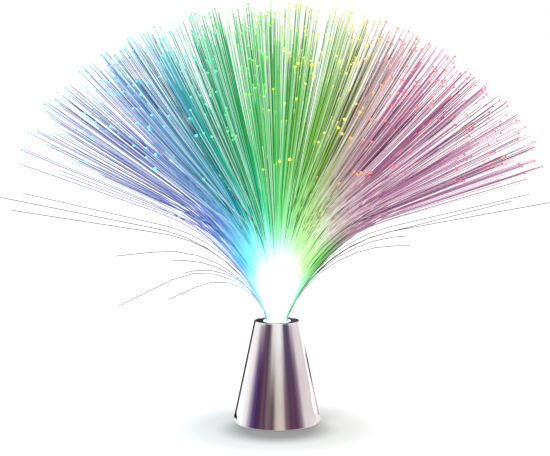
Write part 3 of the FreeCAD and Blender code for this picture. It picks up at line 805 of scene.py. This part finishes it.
spray_places = bundle_places()
loose_places = []
for degrees, *shape in loose_fibres:
    wanted = polar(bundle_reach, math.radians(degrees))
    nearest = min(spray_places, key=lambda spot: math.dist(spot, wanted))
    spray_places.remove(nearest)
    loose_places.append((nearest, shape))
print(len(spray_places), "fibres in the spray and", len(loose_places), "loose")

# %% [markdown]
# ## The spray: centre lines
# A line is worked out in steps of one millimetre: at each step the fibre has a lean and an azimuth, and
# its position is the sum of the steps before it. That takes arcs and straights in the same way. More
# lines are then laid between the measured ones, so that the fan looks as full as a real one.

# %% Centre lines
rng = np.random.default_rng(11)


def centre_line(x, y, azimuth, bends, length):
    """Points of a fibre a millimetre apart. bends are (start, run length, angle) along it."""
    stations = np.arange(0.0, length + 1.0)
    lean = sum(angle * np.clip((stations - start) / run, 0, 1) for start, run, angle in bends)
    steps = np.column_stack([np.sin(lean) * np.cos(azimuth), np.sin(lean) * np.sin(azimuth), np.cos(lean)])
    steps = np.vstack([[0, 0, 0], (steps[1:] + steps[:-1]) / 2])
    return np.array([x, y, ferrule_foot]) + np.cumsum(steps, axis=0), lean


def spray_lines(places):
    """For each fibre: its band, its points and leans, and its azimuth."""
    lines = []
    for x, y in places:
        azimuth, share = way_out(x, y)
        free = fibre_length * (1 - length_scatter * scatter(x, y) ** 2)
        bends = [(mouth_run, mouth_bend_length, mouth_bend * share),
                 (mouth_run + mouth_bend_length, arch_length, arch_bend * share)]
        points, lean = centre_line(x, y, azimuth, bends, mouth_run + mouth_depth + free)
        lines.append((band_of(azimuth, share), points, lean, azimuth))
    return lines


def loose_lines():
    lines = []
    for (x, y), (bend, radius, end) in loose_places:
        azimuth = math.atan2(y, x)
        rest = math.radians(bend) - mouth_bend
        bends = [(mouth_run, mouth_bend_length, mouth_bend),
                 (mouth_run + mouth_bend_length, radius * rest, rest)]
        length = mouth_run + mouth_bend_length + radius * rest + end
        points, lean = centre_line(x, y, azimuth, bends, length)
        lines.append((loose_band, points, lean, azimuth))
    return lines


left_edge, left_kept = -0.62, 0.45           # the fan is thinner at its left
middle_half, middle_kept = 0.22, 0.65        # and in its middle


def fill_places():
    """Places between the first ones, for the fibres that the eye sees but the measured model leaves out."""
    between = [(x + fibre_pitch / 2, y + fibre_pitch * math.sqrt(3) / 6) for x, y in spray_places]
    filled = []
    for x, y in between:
        azimuth, share = way_out(x, y)
        sideways = share * math.cos(azimuth)
        kept = left_kept if sideways < left_edge else middle_kept if abs(sideways) < middle_half else 1.0
        if math.hypot(x, y) < bundle_reach and scatter(y, x) < kept:
            filled.append((x, y))
    return filled


measured_lines = spray_lines(spray_places) + loose_lines()
fill_lines = spray_lines(fill_places())
print("lines:", len(measured_lines), "and", len(fill_lines), "between them")

# %% [markdown]
# ## The spray: one fibre, many times
# One straight fibre is modelled: a ring of five corners, extruded from station to station, with a tip
# flared like a golf tee, as the hot plate that polishes the ends leaves it. It is copied once for each
# line and then bent along it. Five sides with round shading are enough for half a millimetre.

# %% The straight fibre
fibre_rings = ([0.0, mouth_run] + [mouth_run + mouth_bend_length * k / 2 for k in (1, 2)]
               + [mouth_run + mouth_bend_length + arch_length * k / 7 for k in range(1, 8)])
# Millimetres back from the tip, width in radii, and share of the tip's own light
tip_rings = [(7.0, 1.0, 0.0), (1.3, 1.0, 0.5), (0.4, 2.7, 0.5), (0.0, 3.3, 1.0)]


def straight_fibre():
    """A mesh whose x and y are in fibre radii. Its z counts rings, and the bend turns rings into lengths."""
    bm = bmesh.new()
    bmesh.ops.create_circle(bm, cap_ends=False, segments=5, radius=1.0)
    foot = edges = bm.edges[:]
    widths = [1.0] * len(fibre_rings) + [width for back, width, glow in tip_rings]
    for before, width in zip(widths, widths[1:]):
        made = bmesh.ops.extrude_edge_only(bm, edges=edges)["geom"]
        verts = [item for item in made if isinstance(item, bmesh.types.BMVert)]
        edges = [item for item in made if isinstance(item, bmesh.types.BMEdge)]
        wider = Matrix.Diagonal((width / before, width / before, 1.0, 1.0))
        bmesh.ops.transform(bm, verts=verts, matrix=Matrix.Translation((0, 0, 1.0)) @ wider)
    bmesh.ops.contextual_create(bm, geom=edges)
    bmesh.ops.contextual_create(bm, geom=foot)
    facing_out(bm)
    mesh = bpy.data.meshes.new("straight_fibre")
    bm.to_mesh(mesh)
    bm.free()
    return mesh


one_fibre = straight_fibre()
print("one fibre:", len(one_fibre.vertices), "corners,", len(one_fibre.polygons), "faces")

# %% [markdown]
# ## The spray: bending and colour
# Bending moves each ring to its place on the line and turns it square to the line. Each corner also
# gets five numbers that its finish reads: how far it is from the ferrule, which way it lies from there
# as seen from the front, its fibre's place across the bundle, a random shade number that picks its
# painted reflection or painted shade, and how much of the tip's light it has. Over the row of coloured
# lights the direction decides the colour, so it shades from blue through green and gold to red. Half of
# the tips are flared to a bright dot and half stay small.


# %% Bending the copies
drawn_dia = 0.56         # a little over the real 0.5, so that a fibre shows from across a room
tip_room = 12.0          # the rings of the bend stay this far from the tip
flared_share = 0.5
flare_growth = 0.7       # the largest flare is this much wider than the tip rings say
small_tip = 0.42
fan_scatter = 1.6        # degrees by which neighbours differ in hue
lowest_rise = 4.0        # keeps the hue of drooping fibres at the fan's edge
# loose_shade puts the loose fibres past the finish's dark limit, so they are painted dark, as shade.
loose_shade, loose_glow = 0.95, 0.3


def bend_fibres(mesh, lines, radius):
    """Moves the corners of len(lines) straight fibres in one mesh onto their lines."""
    each = len(one_fibre.vertices)
    count = len(lines)
    straight = np.empty(each * count * 3, dtype=np.float32)
    mesh.vertices.foreach_get("co", straight)
    straight = straight.reshape(count, each, 3)
    ring = np.rint(straight[0, :, 2]).astype(int)
    placed = np.empty_like(straight)
    names = ("far", "fan", "shade", "across", "bead")
    noted = {name: np.empty((count, each), dtype=np.float32) for name in names}
    glows = np.array([0.0] * len(fibre_rings) + [glow for back, width, glow in tip_rings], dtype=np.float32)
    for index, (band, points, lean, azimuth) in enumerate(lines):
        length = len(points) - 1.0
        short = length < fibre_rings[-1] + tip_room
        stretch = (length - tip_room) / fibre_rings[-1] if short else 1.0
        at = [place * stretch for place in fibre_rings] + [length - back for back, width, glow in tip_rings]
        at = np.array(at)[ring]
        along = np.arange(len(points))
        centre = np.column_stack([np.interp(at, along, points[:, axis]) for axis in range(3)])
        tilt = np.interp(at, along, lean)
        out = np.column_stack([np.cos(tilt) * np.cos(azimuth), np.cos(tilt) * np.sin(azimuth), -np.sin(tilt)])
        side = np.array([-math.sin(azimuth), math.cos(azimuth), 0.0])
        flared = band < loose_band and rng.uniform() < flared_share
        flare = 1.0 + flare_growth * rng.uniform() ** 2 if flared else small_tip
        size = np.where(ring > len(fibre_rings) + 1, flare, 1.0)
        section = straight[index, :, :2] * radius * size[:, None]
        placed[index] = (centre + section[:, :1] * out + section[:, 1:] * side) * MM
        above = centre - np.array([0, 0, ferrule_top])
        rise = np.maximum(above[:, 2], lowest_rise)
        noted["far"][index] = np.where(above[:, 2] > 0, np.linalg.norm(above, axis=1), 0.0)
        noted["fan"][index] = np.degrees(np.arctan2(above[:, 0], rise)) + rng.normal(0, fan_scatter)
        # A random shade number, which the finish turns into a painted reflection or a painted shade.
        noted["shade"][index] = rng.uniform() if band < loose_band else loose_shade
        noted["across"][index] = points[0, 0] / bundle_reach
        noted["bead"][index] = glows[ring] * (1.0 if band < loose_band else loose_glow)
    mesh.vertices.foreach_set("co", placed.ravel())
    for name, values in noted.items():
        layer = mesh.attributes.new(name, "FLOAT", "POINT")
        layer.data.foreach_set("value", values.ravel())


print("fibres are drawn %.2f mm thick" % drawn_dia)

# %% [markdown]
# ## The spray: maps and meshes
# Baking a finish needs a flat map of the mesh. Each fibre gets a column of its own there, so that no two
# share a place. Then all the fibres of one colour go into one mesh, which is quick to draw.


# %% Fibre meshes
def lay_out(mesh, count):
    """A map for baking: a column for each fibre, with its length running up the column."""
    each = len(one_fibre.loops)
    layer = mesh.uv_layers.new(name="OFBake")
    loops = np.empty(each * count, dtype=np.int32)
    mesh.loops.foreach_get("vertex_index", loops)
    corner = loops.reshape(count, each)[0]
    here = np.array([vert.co for vert in one_fibre.vertices])[corner]
    turn = np.arctan2(here[:, 1], here[:, 0]) / (2 * math.pi) % 1.0
    high = here[:, 2] / here[:, 2].max()
    for face in one_fibre.polygons:
        span = list(face.loop_indices)
        if turn[span].max() - turn[span].min() > 0.5:
            turn[span] = np.where(turn[span] < 0.5, turn[span] + 1.0, turn[span])
    margin, end_margin = 0.08, 0.004
    last_turn = 1.2          # the seam's last corner is at 1.05 of a turn, and this leaves room beside it
    share = margin + (1 - 2 * margin) * turn / last_turn
    columns = (np.arange(count)[:, None] + share[None]) / count
    rows = np.broadcast_to(end_margin + (1 - 2 * end_margin) * high, columns.shape)
    uv = np.dstack([columns, rows])
    layer.data.foreach_set("uv", uv.astype(np.float32).ravel())


def make_fibres(name, lines, material):
    bm = bmesh.new()
    for line in lines:
        bm.from_mesh(one_fibre)
    made = put(name, bm, material)
    bend_fibres(made.data, lines, drawn_dia / 2)
    made.data.shade_smooth()
    lay_out(made.data, len(lines))
    print("  %s: %d fibres, %d faces" % (name, len(lines), len(made.data.polygons)))
    return made


# %% [markdown]
# ## The fibres' finish
# An end-glow fibre leaks a little light through its side where it bends, so the throat is nearly white
# and the hue grows with distance. Two fibres in three are painted pale, as a reflection of the room, or
# painted dim or dark, as shade, beside their neighbours. The bead at the tip is where the light comes
# out, so it is the brightest point.


# %% Fibre finish
def fibre_finish():
    finish = Finish("fibre_guide", Roughness=0.42, Specular_IOR_Level=0.35, Emission_Strength=1.0)
    degrees = finish.attribute("fan")
    widest = 80.0            # the ramps run from this far to the left to this far to the right
    fan = (degrees + widest) / (2 * widest)
    far = finish.attribute("far")
    shade = finish.attribute("shade")
    bead = finish.attribute("bead")
    across = finish.attribute("across")
    # Near the throat the fibres are white in the middle and tinted towards the bundle's left and right in the
    # hues of the lights there; the darkest tints at the very rim are a painted shade that draws the throat's
    # outline.
    near_hue = finish.ramp((across + 1.0) / 2.0, hues(
        (0.0, 128, 150, 164), (0.02, 150, 184, 204), (0.05, 176, 226, 242), (0.12, 206, 250, 255),
        (0.30, 250, 255, 255), (0.70, 250, 255, 252), (0.86, 206, 252, 234), (0.94, 150, 234, 184),
        (0.975, 104, 184, 124), (1.0, 78, 108, 82)))
    throat_hue = finish.ramp(fan, hues(
        (0.22, 96, 146, 218), (0.29, 108, 178, 236), (0.35, 142, 232, 252), (0.42, 150, 250, 250),
        (0.48, 186, 255, 244), (0.54, 212, 255, 226), (0.60, 212, 252, 190), (0.66, 204, 246, 178),
        (0.70, 126, 208, 110), (0.735, 88, 152, 80), (0.78, 90, 104, 84)))
    middle_hue = finish.ramp(fan, hues(
        (0.20, 104, 108, 194), (0.305, 96, 122, 208), (0.35, 94, 168, 226), (0.40, 58, 204, 210),
        (0.45, 58, 214, 160), (0.50, 92, 226, 134), (0.55, 170, 242, 146), (0.605, 202, 234, 158),
        (0.645, 230, 230, 208), (0.68, 224, 198, 206), (0.74, 182, 130, 158), (0.80, 172, 116, 150)))
    far_hue = finish.ramp(fan, hues(
        (0.15, 128, 132, 192), (0.29, 112, 128, 196), (0.34, 92, 162, 208), (0.39, 28, 186, 164),
        (0.44, 30, 188, 96), (0.51, 66, 196, 60), (0.565, 122, 198, 60), (0.605, 164, 180, 104),
        (0.635, 196, 158, 164), (0.67, 176, 100, 146), (0.74, 168, 96, 144), (0.80, 182, 122, 164)))
    tip = finish.ramp(fan, hues(
        (0.20, 140, 232, 250), (0.34, 110, 240, 244), (0.39, 84, 238, 206), (0.43, 84, 236, 124),
        (0.485, 150, 240, 80), (0.52, 244, 244, 60), (0.585, 250, 226, 76), (0.62, 252, 176, 96),
        (0.67, 244, 96, 112), (0.85, 240, 80, 116)))
    body = finish.mix(far.ease(30.0, 62.0), near_hue, throat_hue)
    body = finish.mix(far.ease(66.0, 108.0), body, middle_hue)
    body = finish.mix(far.ease(104.0, 152.0), body, far_hue)
    side = degrees.size().ease(10.0, 34.0)
    rim = across.size().ease(0.45, 0.92)
    white = (1.0 - far.ease(20.0, 94.0 - side * 60.0)) * (1.0 - rim)
    # Painted shade and painted reflection: away from the throat, by its shade number, a fibre is painted dark
    # or dim as if shaded, or pale as if it mirrored the room.
    dark = shade.ease(0.75, 0.83) * far.ease(46.0, 100.0 - side * 44.0)
    pale = (1.0 - shade.ease(0.24, 0.32)) * far.ease(60.0, 110.0)
    painted_sheen_and_shade = finish.mix(pale * 0.72, body, paint(246, 246, 250))
    dim = shade.ease(0.50, 0.56) * (1.0 - shade.ease(0.70, 0.74)) * far.ease(60.0, 110.0)
    painted_sheen_and_shade = finish.mix(dim * 0.38, painted_sheen_and_shade, paint(58, 62, 78))
    painted_sheen_and_shade = finish.mix(dark * 0.80, painted_sheen_and_shade, paint(30, 40, 48))
    base = finish.mix(white, painted_sheen_and_shade, paint(253, 255, 254))
    lit = finish.mix((1.0 - dark) * 0.36, pure_black, body)
    glow = finish.mix(white, lit, paint(204, 216, 216))
    drop = finish.mix(0.5, finish.mix(bead, paint(250, 250, 244), tip), (0.05, 0.05, 0.05, 1))
    finish.set(Base_Color=finish.mix(bead.ease(0.0, 1.0), base, drop),
               Emission_Color=finish.mix(bead, glow, tip))
    return finish.material


fibre_guide = fibre_finish()
for number, colour in enumerate(("blue", "green", "yellow", "red", "loose")):
    lines = [line for line in measured_lines + fill_lines if line[0] == number]
    piece = make_fibres("fibre_fan_" + colour, lines, fibre_guide)
    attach(piece, "spray")
    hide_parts("fibres_" + colour)

# %% [markdown]
# ## Under the lamp
# The cover and the battery door are black, with a coarser grain than the collar because hands and tables
# rub them. Grip ribs for a thumb and the ridges on the switch are low and regular, so a bump of a sine
# wave draws them. The screws are zinc plated: a metal with a brushed, slightly yellow skin.

# %% Cover, door, switch and screws
def ribbed(finish, axis, pitch, low, high, across, reach):
    """A bump height: the etching, with ribs between two places along one axis."""
    place = finish.along(axis)
    wave = (place * (2 * math.pi / (pitch * MM))).sine().ease(-0.4, 0.6)
    inside = (place.above(low * MM) * (1.0 - place.above(high * MM))
              * (1.0 - finish.along(across).size().above(reach * MM)))
    return etching(finish) * 0.06 + wave * inside


def plated(name, colour, scale=(300, 300, 40), roughness=0.28):
    """Bright metal with fine lines that run one way, and a few dull patches."""
    finish = Finish(name, Metallic=1.0)
    lines = finish.noise(4.0, 2.0, 0.6, finish.stretched(*scale))
    dull = finish.noise(350).ease(0.5, 0.75)
    finish.set(Base_Color=finish.mix(dull, colour, shifted(colour, 0.72)), Roughness=roughness + dull * 0.15,
               Normal=finish.bump(lines, 0.00002, 0.3, finish.soft_edges(0.08)))
    return finish.material


dress("bottom_cover", moulded("cover_black", paint(30, 30, 32), 0.5, 0.5).material)

door = moulded("door_black", paint(32, 32, 34), 0.5, 0.5)
ribs = ribbed(door, "X", pitch=1.5, low=-18.0, high=-6.0, across="Y", reach=9.0)
door.set(Normal=door.bump(ribs, 0.0005, 0.9, door.soft_edges(0.3)))
dress("battery_door", door.material)

slider = moulded("slider_black", paint(40, 40, 43), 0.35, 0.3)
ridges = ribbed(slider, "X", pitch=0.6, low=-1.0, high=4.0, across="Z", reach=1.0)
slider.set(Normal=slider.bump(ridges, 0.0003, 0.9, slider.soft_edges(0.12)))
dress("switch_slider", slider.material)

case = moulded("switch_case", paint(196, 196, 192), 0.35, 0.2)
case.set(Metallic=1.0)
dress("switch_case", case.material)

for metal, names in (
        (plated("screw_steel", paint(206, 205, 198)), ("cover_screws", "door_screw", "board_screws")),
        (plated("contact_nickel", paint(214, 208, 194), (40, 300, 300)),
         ("contact_minus", "contact_plus", "contact_bridge_left", "contact_bridge_right", "contact_springs")),
        (plated("tinned_metal", paint(210, 211, 208), (200, 200, 200), 0.35),
         ("led_leads", "switch_terminals"))):
    for name in names:
        dress(name, metal)
print("underside dressed")

# %% [markdown]
# ## The light inside
# Below the fibres' feet stand four light-emitting diodes in a white cup, on a round green board with a
# driver chip and its resistors. The diodes are tinted epoxy, lit from within. The board's lacquer is
# darker over bare fibreglass and lighter over copper, so a cell pattern with hard borders draws tracks.


# %% Diodes, cup and board
core_low, core_high = 1.0, 5.5       # a diode's white core fades between these heights above the board


def lit_epoxy(name, colour):
    """Tinted epoxy whose core glows white near the board."""
    finish = Finish(name, Roughness=0.12, Specular_IOR_Level=0.5, Emission_Strength=1.0, Coat_Weight=0.4)
    core = 1.0 - finish.along("Z").ease((board_top + core_low) * MM, (board_top + core_high) * MM)
    finish.set(Base_Color=shifted(colour, 0.65, 0.35),
               Emission_Color=finish.mix(core * 0.6, colour, pure_white),
               Normal=finish.soft_edges(0.3))
    return finish.material


def board_finish():
    finish = Finish("board_green", Specular_IOR_Level=0.5, Coat_Weight=0.3)
    cells = finish.node("ShaderNodeTexVoronoi", {"feature": "DISTANCE_TO_EDGE", "distance": "CHEBYCHEV"},
                        Vector=finish.place(), Scale=330.0)
    track = cells.ease(0.05, 0.09)
    weave = finish.noise(1400)
    colour = finish.mix(track, paint(14, 70, 38), paint(24, 104, 54))
    finish.set(Base_Color=finish.mix(weave * 0.25, colour, paint(40, 120, 70)), Roughness=0.24 + weave * 0.1,
               Normal=finish.bump(track, 0.00004, 0.5, finish.soft_edges(0.15)))
    return finish.material


for name, colour in (("led_blue", paint(92, 150, 255)), ("led_green", paint(96, 236, 130)),
                     ("led_yellow", paint(250, 226, 80)), ("led_red", paint(246, 90, 104))):
    dress(name, lit_epoxy(name, colour))
dress("light_hood", moulded("hood_white", paint(244, 245, 240), 0.35, 0.2, 0.4).material)
dress("led_board", board_finish())
dress("driver_chip", moulded("chip_black", paint(34, 34, 36), 0.55, 0.6, 0.3, 0.1).material)
dress("resistors", moulded("resistor_black", paint(44, 42, 44), 0.3, 0.3, 0.4, 0.1).material)
print("light dressed")

# %% [markdown]
# ## Cells and wires
# Each cell is a steel can in a shrunk plastic sleeve. The sleeve curls over the can's shoulder, and the
# button and the flat end are bare metal. So the can is one spun row of corners, laid along X, and the
# sleeve's colour is a band along it: slate blue with an orange line and a pale grey end towards the
# button.


# %% Cells and wires
sleeve_foot, sleeve_end = -23.45, 23.35      # along a cell from its middle, the button's way
line_start, line_end = 10.8, 11.2
pale_start, pale_full = 11.8, 12.1


def cell_finish(name, way):
    finish = Finish(name)
    along = finish.along("X") * way
    bare = (along.above(sleeve_end * MM) + (1.0 - along.above(sleeve_foot * MM))).held()
    pale_end = along.ease(pale_start * MM, pale_full * MM)
    line = along.above(line_start * MM) * (1.0 - along.above(line_end * MM))
    colour = finish.mix(pale_end, paint(58, 82, 104), paint(196, 200, 204))
    colour = finish.mix(line, colour, paint(226, 150, 60))
    finish.set(Base_Color=finish.mix(bare, colour, paint(206, 205, 200)), Metallic=bare,
               Roughness=0.26 + finish.noise(500) * 0.08,
               Coat_Weight=0.4 - bare * 0.4,
               Normal=finish.bump(finish.noise(26, where=finish.stretched(1, 6, 6)), 0.0002, 0.15))
    return finish.material


cell_middle = 8.75       # height of a cell's axis


def make_cell(name, y, way):
    """A cell along X at this y. way is 1 where its button points to +X."""
    bm = bmesh.new()
    turned(bm, [(0, -23.6), (4.2, -23.6), (4.3, -23.45), (4.6, -23.45), (5.1, -23.3), (5.25, -22.9),
                (5.25, -8), (5.25, 8), (5.25, 22.4), (5.05, 23.0), (4.5, 23.25), (3.9, 23.2), (2.2, 23.2),
                (1.9, 23.35), (1.9, 23.9), (1.75, 24.0), (0, 24.0)], steps=40)
    facing_out(bm)
    tip = Matrix.Rotation(math.radians(90) * way, 4, "Y")
    place = Matrix.Translation((0, y * MM, cell_middle * MM))
    bmesh.ops.transform(bm, matrix=place @ tip, verts=bm.verts[:])
    tell(bm, name)
    return put("battery_" + name, bm, cell_finish("cell_sleeve_" + name, way), smooth_under=50)


for name, y, way in (("cell_1", -10.8, 1), ("cell_2", 0.0, -1), ("cell_3", 10.8, 1)):
    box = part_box(name)
    cell = make_cell(name, y, way)
    print("  ", name, "from x %.2f to %.2f mm" % (box[0][0] / MM, box[1][0] / MM))
    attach(cell, "base")
    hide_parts(name)

for name, colour in (("wire_plus", paint(190, 34, 30)), ("wire_switch", paint(224, 190, 40)),
                     ("wire_minus", paint(30, 30, 32))):
    dress(name, moulded(name + "_cover", colour, 0.42, 0.25, 0.35, 0.1).material)
print("cells and wires dressed")
